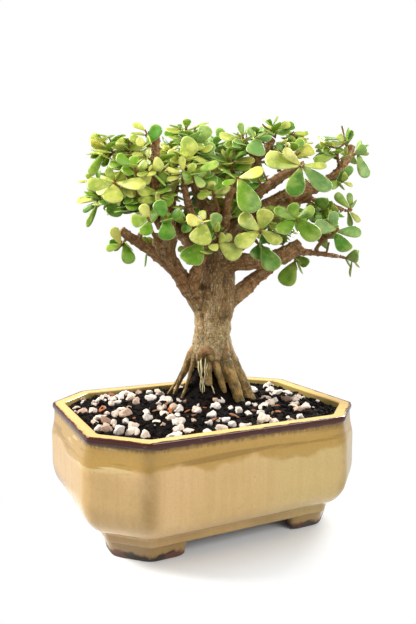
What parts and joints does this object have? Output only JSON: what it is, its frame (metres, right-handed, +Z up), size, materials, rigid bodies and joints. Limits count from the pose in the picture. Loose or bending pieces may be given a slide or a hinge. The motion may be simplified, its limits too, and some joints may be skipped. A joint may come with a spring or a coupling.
{
  "type": "elephant bush bonsai",
  "caption": "Small elephant bush tree with a stout trunk, bare standing roots and round fleshy leaves, in a glazed pot with cut corners and low corner feet.",
  "frame": {"origin": "middle of the bounding box's base, on the surface that the soles of the pot's feet stand on", "axes": "+X along the pot's long side, to the right as seen from the front; +Y to the back; +Z up"},
  "size_m": [0.2218, 0.1746, 0.2899],
  "materials": {
    "straw_glaze": "gloss",
    "soil_and_pumice": "matte",
    "bark": "matte",
    "leaf_green": "satin"
  },
  "bodies": {
    "root": {"pot": "straw_glaze", "soil": "soil_and_pumice", "trunk": "bark", "spray_01": "leaf_green", "spray_02": "leaf_green", "spray_03": "leaf_green", "spray_04": "leaf_green", "spray_05": "leaf_green", "spray_06": "leaf_green", "spray_07": "leaf_green", "spray_08": "leaf_green", "spray_09": "leaf_green", "spray_10": "leaf_green", "spray_11": "leaf_green", "spray_12": "leaf_green", "spray_13": "leaf_green", "spray_14": "leaf_green", "spray_15": "leaf_green", "spray_16": "leaf_green", "spray_17": "leaf_green", "spray_18": "leaf_green", "spray_19": "leaf_green", "spray_20": "leaf_green", "spray_21": "leaf_green", "spray_22": "leaf_green", "spray_23": "leaf_green", "spray_24": "leaf_green", "spray_25": "leaf_green", "spray_26": "leaf_green", "spray_27": "leaf_green", "spray_28": "leaf_green", "spray_29": "leaf_green", "spray_30": "leaf_green", "spray_31": "leaf_green", "spray_32": "leaf_green", "spray_33": "leaf_green", "spray_34": "leaf_green", "spray_35": "leaf_green", "spray_36": "leaf_green", "spray_37": "leaf_green", "spray_38": "leaf_green", "spray_39": "leaf_green", "spray_40": "leaf_green", "spray_41": "leaf_green", "spray_42": "leaf_green", "spray_43": "leaf_green", "spray_44": "leaf_green", "spray_45": "leaf_green", "spray_46": "leaf_green", "spray_47": "leaf_green", "spray_48": "leaf_green", "spray_49": "leaf_green", "spray_50": "leaf_green", "spray_51": "leaf_green", "spray_52": "leaf_green", "spray_53": "leaf_green", "spray_54": "leaf_green", "spray_55": "leaf_green", "spray_56": "leaf_green", "spray_57": "leaf_green"}
  },
  "joints": []
}
